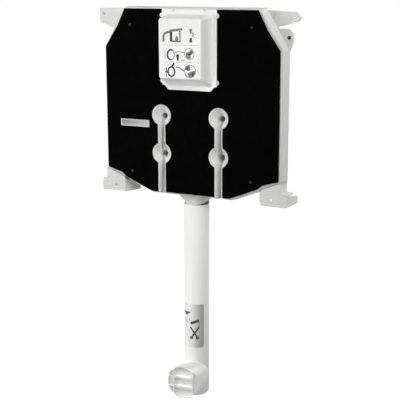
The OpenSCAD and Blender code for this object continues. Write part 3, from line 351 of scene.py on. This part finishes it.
# Node trees for what repeats or follows a path; settings with a capital become named inputs
def newTree(name, settings):
    tree = bpy.data.node_groups.new(name, "GeometryNodeTree")
    tree.is_modifier = True

    def socket(label, kind, side="INPUT"):
        return tree.interface.new_socket(label, in_out=side, socket_type="NodeSocket" + kind)
    socket("Geometry", "Geometry")
    for label, value in settings.items():
        if label[0].isupper():
            socket(label, "Float").default_value = value
    socket("Finish", "Material")
    socket("Geometry", "Geometry", "OUTPUT")
    return tree, tree.nodes.new("NodeGroupInput").outputs

def joined(tree, parts):
    join = tree.nodes.new("GeometryNodeJoinGeometry")
    for part in parts:
        tree.links.new(part, join.inputs[0])
    return join.outputs[0]

def scaled(tree, value, factor):
    return addNode(tree, "ShaderNodeMath", {0: value, 1: factor}, operation="MULTIPLY")[0]

def alongZ(tree, z):
    return addNode(tree, "ShaderNodeCombineXYZ", {"Z": z})[0]

def moved(tree, geometry, shift):
    return addNode(tree, "GeometryNodeTransform", {"Geometry": geometry, "Translation": shift})[0]

def coneNode(tree, sides, low, taper, depth):
    return addNode(tree, "GeometryNodeMeshCone",
                   {"Vertices": sides, "Radius Top": scaled(tree, low, taper),
                    "Radius Bottom": low, "Depth": depth})[0]

def stemNode(tree, sides, radius, length):  # a round stem that hangs below the origin
    stem = addNode(tree, "GeometryNodeMeshCylinder",
                   {"Vertices": sides, "Radius": radius, "Depth": length})[0]
    return moved(tree, stem, alongZ(tree, scaled(tree, length, -0.5)))

def closeTree(tree, geometry, finish):
    real = addNode(tree, "GeometryNodeRealizeInstances", {"Geometry": geometry})[0]
    painted = addNode(tree, "GeometryNodeSetMaterial", {"Geometry": real, "Material": finish})[0]
    tree.links.new(painted, tree.nodes.new("NodeGroupOutput").inputs[0])

def spreadOut(tree, size, instance, rotation):  # one copy on each point, then closed
    spread = addNode(tree, "GeometryNodeInstanceOnPoints",
                     {"Points": size["Geometry"], "Instance": instance, "Rotation": rotation})[0]
    closeTree(tree, spread, size["Finish"])
    return tree

def runTree(name, tree, mesh, values, finish):
    obj = bpy.data.objects.new(name, mesh)
    scene.collection.objects.link(obj)
    mod = obj.modifiers.new("build", "NODES")
    mod.node_group = tree
    for item in tree.interface.items_tree:
        if item.in_out == "INPUT" and item.name in values:
            mod[item.identifier] = values[item.name]
        if item.in_out == "INPUT" and item.name == "Finish":
            mod[item.identifier] = materials[finish]
    shape = obj.evaluated_get(bpy.context.evaluated_depsgraph_get())
    plain = bpy.data.meshes.new_from_object(shape)
    obj.modifiers.remove(mod)
    obj.data = plain
    plain.name = name
    closeMesh(plain)
    return obj

# Domed pins that hold the insulation sheet
pins = {"x": 140.5, "zs": (160.5, -154.5), "faceY": -80, "headSides": 32, "headTaper": 0.82,
        "domeSides": 24, "domeRings": 10, "domeR": 0.72, "domeFlat": 0.38, "stemSides": 20,
        "Head Radius": 3.2 * mm, "Head Height": 0.6 * mm, "Stem Radius": 2.0 * mm,
        "Stem Length": 6.0 * mm}

def pinTree(p):
    tree, size = newTree("pinHeads", p)
    headR = size["Head Radius"]
    disc = coneNode(tree, p["headSides"], headR, p["headTaper"], size["Head Height"])
    ball = addNode(tree, "GeometryNodeMeshUVSphere",
                   {"Segments": p["domeSides"], "Rings": p["domeRings"],
                    "Radius": scaled(tree, headR, p["domeR"])})[0]
    dome = addNode(tree, "GeometryNodeTransform",
                   {"Geometry": ball, "Scale": (1, 1, p["domeFlat"])})[0]
    stem = stemNode(tree, p["stemSides"], size["Stem Radius"], size["Stem Length"])
    return spreadOut(tree, size, joined(tree, [disc, dome, stem]), (math.pi / 2, 0, 0))

pinPoints = [(x, pins["faceY"], z) for x in (-pins["x"], pins["x"]) for z in pins["zs"]]
pinPiece = runTree("sheetPins", pinTree(pins), meshOf("pinPoints", pinPoints), pins, "pinPlastic")
place(pinPiece, None, "cistern", ["insulation_pins"])

# Pan-head screws under the brackets, with a cross recess
screws = {"node": "bracket_screws", "headSides": 40, "headTaper": 0.8, "shankSides": 24,
          "Head Radius": 4.0 * mm, "Head Height": 2.5 * mm, "Shank Radius": 1.9 * mm,
          "Shank Length": 11.0 * mm, "Slot Length": 4.4 * mm, "Slot Width": 0.9 * mm}

def screwTree(s):
    tree, size = newTree("panScrews", s)
    height = size["Head Height"]
    head = coneNode(tree, s["headSides"], size["Head Radius"], s["headTaper"], height)
    cut = tree.nodes.new("GeometryNodeMeshBoolean")
    cut.operation = "DIFFERENCE"
    cut.solver = "EXACT"
    tree.links.new(head, cut.inputs[0])
    for long, short in (("X", "Y"), ("Y", "X")):
        sides = {long: size["Slot Length"], short: size["Slot Width"], "Z": height}
        span = addNode(tree, "ShaderNodeCombineXYZ", sides)[0]
        bar = addNode(tree, "GeometryNodeMeshCube", {"Size": span})[0]
        tree.links.new(moved(tree, bar, alongZ(tree, height)), cut.inputs[1])
    shank = stemNode(tree, s["shankSides"], size["Shank Radius"], size["Shank Length"])
    return spreadOut(tree, size, joined(tree, [cut.outputs[0], shank]), (math.pi, 0, 0))

def screwPoints(s):
    low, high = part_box(s["node"])
    headR = s["Head Radius"]
    xs = (low.x + headR, high.x - headR)
    ys = (low.y + headR, high.y - headR)
    return [(x / mm, y / mm, (low.z + s["Head Height"]) / mm) for x in xs for y in ys]

screwMesh = meshOf("screwPoints", screwPoints(screws))
screwPiece = runTree("bracketScrews", screwTree(screws), screwMesh, screws, "zincSteel")
place(screwPiece, None, "cistern", ["bracket_screws"])
print("pins and screws built")

# Black rubber lip on the pipe's seal, raised toward one side under the neck: partly a seal lip,
# partly a painted shadow where the neck's shade falls on the joint
paintedShadowLip = {"axisY": -48, "inner": 24.1, "bore": 25.8, "below": 4, "sunk": 1.2, "rise": 5.4,
           "edge": 0.15, "bulge": 1.5, "neckGap": 2.8, "shelf": 0.03, "toward": 26, "parts": 72}

def lipSection(s, turn):  # radius and height of the lip's corners at one place round the pipe
    # the lip stands highest toward the shaded side, as painted shadow
    towardShade = ((1 + math.cos(turn - math.radians(s["toward"]))) / 2) ** 2
    high = s["rise"] * towardShade - s["sunk"]
    outer = s["bore"] + s["edge"] + s["bulge"] * max(0, high) / (s["rise"] - s["sunk"])
    shelf = min(s["shelf"], high - s["edge"])
    return ((s["inner"], -s["below"]), (s["bore"], -s["below"]), (s["bore"], shelf),
            (outer, shelf), (outer - s["edge"] / 2, high), (s["inner"], min(high, s["neckGap"])))

def lipMesh(s):
    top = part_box("flush_bend")[1].z / mm
    turns = [2 * math.pi * k / s["parts"] for k in range(s["parts"])]
    points = [(r * math.cos(turn), s["axisY"] + r * math.sin(turn), top + z)
              for turn in turns for r, z in lipSection(s, turn)]
    corners = len(points) // s["parts"]
    faces = []
    for k in range(s["parts"]):
        a, b = k * corners, (k + 1) % s["parts"] * corners
        faces += [(a + i, b + i, b + (i + 1) % corners, a + (i + 1) % corners)
                  for i in range(corners)]
    mesh = meshOf("paintedShadowLip", points, faces)
    closeMesh(mesh)
    return mesh

lipPiece = bpy.data.objects.new("paintedShadowLip", lipMesh(paintedShadowLip))
place(lipPiece, "sealRubber", "cistern")

# Thread on the inlet shank, a ridge that winds round it
thread = {"at": (-112, -15.2, 150), "steps": 40, "ridgeSides": 6, "Pitch": 1.8 * mm,
          "Turns": 5.3, "Radius": 10.45 * mm, "Ridge": 0.55 * mm}

def threadTree(t):
    tree, size = newTree("shankThread", t)
    winding = addNode(tree, "GeometryNodeCurveSpiral",
                      {"Resolution": t["steps"], "Rotations": size["Turns"],
                       "Start Radius": size["Radius"], "End Radius": size["Radius"],
                       "Height": scaled(tree, size["Pitch"], size["Turns"])})[0]
    ridge = addNode(tree, "GeometryNodeCurvePrimitiveCircle",
                    {"Resolution": t["ridgeSides"], "Radius": size["Ridge"]})[0]
    swept = addNode(tree, "GeometryNodeCurveToMesh",
                    {"Curve": winding, "Profile Curve": ridge, "Fill Caps": True})[0]
    return spreadOut(tree, size, swept, (-math.pi / 2, 0, 0))

threadMesh = meshOf("threadPoint", [thread["at"]])
threadPiece = runTree("inletThread", threadTree(thread), threadMesh, thread, "turnedBrass")
place(threadPiece, None, "cistern")
print("seal lip and thread built")

# Sheets and print: flat outlines laid on a surface, then given their thickness
def strip(points, width, ring=False):
    last = len(points) - 1
    left, right = [], []
    for i, (x, y) in enumerate(points):
        before = points[i - 1] if i or ring else points[0]
        after = points[(i + 1) % (last + 1)] if i < last or ring else points[last]
        along = Vector((after[0] - before[0], after[1] - before[1])).normalized() * width / 2
        left.append((x - along.y, y + along.x))
        right.append((x + along.y, y - along.x))
    pairs = [(i, (i + 1) % (last + 1)) for i in range(last + 1 if ring else last)]
    return [[right[i], right[j], left[j], left[i]] for i, j in pairs]

def dense(points, step=1.2):
    made = [points[0]]
    for a, b in zip(points, points[1:]):
        parts = max(1, math.ceil(math.dist(a, b) / step))
        made += [(a[0] + (b[0] - a[0]) * k / parts, a[1] + (b[1] - a[1]) * k / parts)
                 for k in range(1, parts + 1)]
    return made

def arc(centre, radius, start, end, parts, flat=1.0):
    turns = [math.radians(start + (end - start) * k / parts) for k in range(parts + 1)]
    return [(centre[0] + radius * flat * math.cos(t), centre[1] + radius * math.sin(t))
            for t in turns]

def circle(centre, radius, parts, flat=1.0):
    return arc(centre, radius, 0, 360, parts, flat)[:-1]

def roundedBox(low, high, radius, parts=6):
    corners = ((high[0] - radius, high[1] - radius, 0), (low[0] + radius, high[1] - radius, 90),
               (low[0] + radius, low[1] + radius, 180), (high[0] - radius, low[1] + radius, 270))
    return [p for x, y, turn in corners for p in arc((x, y), radius, turn, turn + 90, parts)]

def sheetTree(merge=1e-6):
    tree, size = newTree("thinSheet", {"Thickness": 0.1 * mm})
    flat = size["Geometry"]
    grown = addNode(tree, "GeometryNodeExtrudeMesh",
                    {"Mesh": flat, "Offset Scale": size["Thickness"], "Individual": False})[0]
    under = addNode(tree, "GeometryNodeFlipFaces", {"Mesh": flat})[0]
    whole = addNode(tree, "GeometryNodeMergeByDistance",
                    {"Geometry": joined(tree, [grown, under]), "Distance": merge})[0]
    closeTree(tree, whole, size["Finish"])
    return tree

thinSheet = sheetTree()

def laySheet(name, outlines, onto, thickness, finish, bodyName):
    points, faces = [], []
    for outline in outlines:
        pairs = zip(outline, outline[1:] + outline[:1])
        turn = sum(a[0] * b[1] - b[0] * a[1] for a, b in pairs)
        start = len(points)
        points += [onto(*p) for p in (outline if turn > 0 else outline[::-1])]
        faces.append(list(range(start, len(points))))
    mesh = meshOf(name, points, faces)
    bm = bmesh.new()
    bm.from_mesh(mesh)
    bmesh.ops.remove_doubles(bm, verts=bm.verts, dist=rounding["merge"])
    bm.to_mesh(mesh)
    bm.free()
    made = runTree(name, thinSheet, mesh, {"Thickness": thickness * mm}, finish)
    place(made, None, bodyName)

# Sticker on the cover with three rows of plain servicing pictures, printed in two tones
sticker = {"low": (-44.5, 58.8), "high": (44.5, 174.4), "corner": 6, "faceY": -123.7,
           "paper": 0.14, "ink": 0.1, "tint": 0.06, "ruleWidth": 0.5, "bold": 1.25,
           "rules": [[(-40, 124), (42, 124.6)], [(-40, 89.6), (36, 90.4)],
                     [(42.6, 67), (42.6, 101)]]}

def stickerPictures(s):
    def line(points, width, ring=False):
        return strip(points, width * s["bold"], ring)
    ink, tint = [], []
    for rule in s["rules"]:
        tint += strip(rule, s["ruleWidth"])
    # hose to a tank
    tint += line([(-36, 130.5), (-36.3, 142), (-33.4, 147.2), (-27, 149.6), (-20, 150.4)], 3.8)
    tint += line([(-18.6, 131.8), (1.6, 131.8), (1.6, 152.6)], 3.2)
    tint += line([(-22, 152.6), (7, 156.2)], 3.8)
    ink += line([(-18.6, 151), (-18.6, 131.8)], 4.4)
    tint += [[(-9.4, 133.4), (-2.4, 133.4), (-2.4, 140.4), (-6, 143.4), (-9.4, 139)]]
    # two wedges, pushed together
    tint += [[(22.4, 157.4), (29.4, 157.4), (27.6, 148.2), (24.6, 147.4)]]
    ink += [[(22.6, 130.4), (29.2, 130.4), (28.4, 140.4), (24, 138.6)]]
    tint += line([(29.2, 150), (32.2, 146.6), (29.6, 142)], 2.2)
    # ring and its enlarged view
    ink += line(arc((-19.5, 104.6), 10, 60, 270, 12, 0.8), 2.8)
    tint += line(arc((-19.5, 104.6), 10, 270, 420, 10, 0.8), 1.5)
    tint += line([(-33, 97), (-33, 112)], 1.0)
    ink += [[(-8, 105.4), (-0.4, 105.8), (-1.8, 93), (-5, 92.8)]]
    tint += line([(-10.4, 108.4), (-4, 111.2), (10.8, 110)], 1.3)
    tint += line([(3.6, 94.4), (6.6, 94.4)], 1.6) + line([(8.6, 94.6), (11.6, 94.6)], 1.6)
    tint += line(circle((22.5, 107.4), 11, 40), 1.0, True)
    tint += [[(14.2, 103), (15.8, 109.8), (22, 111.6), (26.6, 116.6), (31, 113), (31.4, 108.4),
              (26.2, 105), (25.2, 98.4), (19.6, 97.2)]]
    ink += line([(18, 106.4), (23.4, 105.4), (27.6, 111.4)], 2.4)
    # ring with a spout, enlarged as well
    ink += line(circle((-18.6, 70.4), 10, 8, 0.8), 3.0, True)
    ink += line([(-17.6, 80), (-12.2, 88)], 3.4)
    ink += line([(-30, 58.9), (-30, 79)], 1.3) + line([(-33.6, 69.4), (-26.4, 69.4)], 2.2)
    ink += line([(-8.6, 79.6), (0, 79.2), (5, 76), (10.6, 71.6)], 1.5)
    lens = (24.2, 72.6)
    tint += line(circle(lens, 12.6, 40), 1.0, True)
    tint += [arc(lens, 12.4, 95, 165, 12) + [(21, 72.6), (25.4, 75.8)]]
    tint += [[(18, 67.6), (24.6, 71.6)] + arc(lens, 12.4, 10, -105, 18)]
    ink += line([(29, 63.6), (31.6, 70)], 3.4) + line([(15.6, 76.4), (20.4, 79.6)], 3.0)
    ink += line([(12.6, 65.6), (18.4, 60.8)], 1.4)
    return ink, tint

def onCover(lift):
    return lambda x, z: (x, sticker["faceY"] - lift, z)

paper = [roundedBox(sticker["low"], sticker["high"], sticker["corner"])]
laySheet("coverSticker", paper, onCover(0), sticker["paper"], "stickerPaper",
         "cover")
inkShapes, tintShapes = stickerPictures(sticker)
onPaper = onCover(sticker["paper"])
laySheet("stickerPrint", inkShapes, onPaper, sticker["ink"], "printInk", "cover")
laySheet("stickerTint", tintShapes, onPaper, sticker["tint"], "printTint", "cover")

# Film label round the flush pipe with a cutting sign
film = {"axisY": -48, "radius": 28.03, "centre": 5, "halfTurn": 55, "low": -541.5, "high": -441.5,
        "corner": 4, "thick": 0.12, "ink": 0.08, "columns": 36}

def onPipe(lift):
    r = film["radius"] + lift
    middle = math.radians(film["centre"])
    return lambda u, v: (r * math.sin(middle + u / film["radius"]),
                         film["axisY"] - r * math.cos(middle + u / film["radius"]), v)

def filmColumns(f):
    half = math.radians(f["halfTurn"]) * f["radius"]
    us = [-half + 2 * half * k / f["columns"] for k in range(f["columns"] + 1)]

    def cut(u):
        inward = min(f["corner"], half - abs(u))
        return f["corner"] - math.sqrt(f["corner"] ** 2 - (f["corner"] - inward) ** 2)
    return [[(a, f["low"] + cut(a)), (b, f["low"] + cut(b)),
             (b, f["high"] - cut(b)), (a, f["high"] - cut(a))] for a, b in zip(us, us[1:])]

# The sign's places are degrees round the pipe and heights; a stroke is its width and its points
sign = {"funnel": ((-42, -4), (-38, -9), (-34, -15), (-30, -20)), "funnelTop": -460.4, "row": 1.9,
        "strokes": [(1.4, [(-36, -474), (-31, -480), (-18, -484.5)]),
                    (1.0, [(-8, -473), (-9, -480)]),
                    (1.1, [(-29, -490), (-29, -500)]),
                    (6.0, [(-2, -485.4), (36, -478)]),  # tube end above two crossed blades
                    (1.2, [(36, -478), (37, -492)]),
                    (3.4, [(-4, -493.6), (30, -518)]),
                    (3.6, [(37, -493), (2, -518)])],
        "grips": (2, 29), "gripZ": -518.6, "gripR": 2.4, "gripWidth": 3.0, "gripParts": 16}

def cuttingSign(f, s):
    unit = math.radians(1) * f["radius"]

    def at(turn, z):
        return ((turn - f["centre"]) * unit, z)
    shapes = []
    for k, ends in enumerate(s["funnel"]):
        z = s["funnelTop"] - s["row"] * k
        shapes += strip(dense([at(turn, z) for turn in ends]), s["row"])
    for width, points in s["strokes"]:
        shapes += strip(dense([at(*p) for p in points]), width)
    for turn in s["grips"]:
        ring = circle(at(turn, s["gripZ"]), s["gripR"], s["gripParts"])
        shapes += strip(ring, s["gripWidth"], True)
    return shapes

laySheet("pipeLabel", filmColumns(film), onPipe(0), film["thick"], "labelFilm",
         "cistern")
laySheet("pipeLabelPrint", cuttingSign(film, sign), onPipe(film["thick"]), film["ink"],
         "printInk", "cistern")
print("sticker and label laid")

# Studio: pale floor, white world, broad lamps round the object and narrow ones that lift the
# pipe, the cover's lower slope and the elbow
studio = {
    "floorZ": -0.6585, "floorSize": 14, "fill": 0.02, "floorTone": 0.38, "floorGlow": 0.987,
    "lamps": {
        "sideLamp": {"at": (-1.75, -1.0, 0.45), "aim": (0, -0.05, -0.1), "size": 0.9,
                     "power": 28.0, "spread": 180},
        "rightLamp": {"at": (1.6, -0.55, 0.8), "aim": (0.1, -0.05, 0.15), "size": 0.9,
                      "power": 10.8, "spread": 180},
        "highLamp": {"at": (1.4, -1.4, 1.2), "aim": (0.05, -0.08, 0.1), "size": 0.8,
                     "power": 2.1, "spread": 50},
        "lowLamp": {"at": (-0.5, -1.7, -0.35), "aim": (0, -0.05, -0.45), "size": 0.9,
                    "power": 4.6, "spread": 180},
        "pipeLamp": {"at": (0.9, -1.8, -0.3), "aim": (0, -0.05, -0.3), "size": 0.4,
                     "power": 0.08, "spread": 14},
        "slopeLamp": {"at": (-0.1, -0.55, -0.5), "aim": (0.02, -0.12, 0.08), "size": 0.25,
                      "power": 0.08, "spread": 26},
        "elbowLamp": {"at": (-0.7, -0.9, 0.75), "aim": (0, -0.09, -0.59), "size": 0.3,
                      "power": 0.065, "spread": 14},
        "topLamp": {"at": (-0.3, -0.8, 1.9), "aim": (0, -0.05, 0.0), "size": 1.2,
                    "power": 1.5, "spread": 180},
        "backLamp": {"at": (0.5, 1.9, 0.6), "aim": (0, 0, 0.08), "size": 1.0,
                     "power": 3, "spread": 44},
    },
}

def seenRays(tree):
    path = tree.nodes.new("ShaderNodeLightPath").outputs
    seen = path["Is Camera Ray"]
    for other in ("Is Glossy Ray", "Is Transmission Ray"):
        seen = addNode(tree, "ShaderNodeMath", {0: seen, 1: path[other]}, operation="MAXIMUM")[0]
    return seen

def addWorld(s):
    world = bpy.data.worlds.new("studio")
    scene.world = world
    world.use_nodes = True
    tree = world.node_tree
    plainWhite = (1, 1, 1, 1)
    fill = tree.nodes["Background"]
    fill.inputs["Color"].default_value = plainWhite
    fill.inputs["Strength"].default_value = s["fill"]
    white = addNode(tree, "ShaderNodeBackground", {"Color": plainWhite, "Strength": 1})[0]
    mix = addNode(tree, "ShaderNodeMixShader",
                  {"Fac": seenRays(tree), 1: fill.outputs["Background"], 2: white})[0]
    tree.links.new(mix, tree.nodes["World Output"].inputs["Surface"])

def addLamps(lamps):
    for name, settings in lamps.items():
        data = bpy.data.lights.new(name, "AREA")
        data.energy = settings["power"]
        data.size = settings["size"]
        data.spread = math.radians(settings["spread"])
        lamp = bpy.data.objects.new(name, data)
        scene.collection.objects.link(lamp)
        lamp.location = settings["at"]
        aim = Vector(settings["aim"]) - Vector(settings["at"])
        lamp.rotation_euler = aim.to_track_quat("-Z", "Y").to_euler()

def addFloor(s):
    half = s["floorSize"] / 2
    mesh = bpy.data.meshes.new("floor")
    corners = [(x * half, y * half, s["floorZ"]) for x, y in ((-1, -1), (1, -1), (1, 1), (-1, 1))]
    mesh.from_pydata(corners, [], [(0, 1, 2, 3)])
    floor = bpy.data.objects.new("floor", mesh)
    scene.collection.objects.link(floor)
    mat = bpy.data.materials.new("paleFloor")
    mat.use_nodes = True
    tree = mat.node_tree
    tree.nodes.remove(tree.nodes["Principled BSDF"])
    tone = s["floorTone"]
    matt = addNode(tree, "ShaderNodeBsdfDiffuse", {"Color": (tone, tone, tone, 1)})[0]
    lift = scaled(tree, seenRays(tree), s["floorGlow"])
    glow = addNode(tree, "ShaderNodeEmission", {"Strength": lift})[0]
    both = addNode(tree, "ShaderNodeAddShader", {0: matt, 1: glow})[0]
    tree.links.new(both, tree.nodes["Material Output"].inputs["Surface"])
    mesh.materials.append(mat)

addWorld(studio)
addLamps(studio["lamps"])
addFloor(studio)
print("studio set")
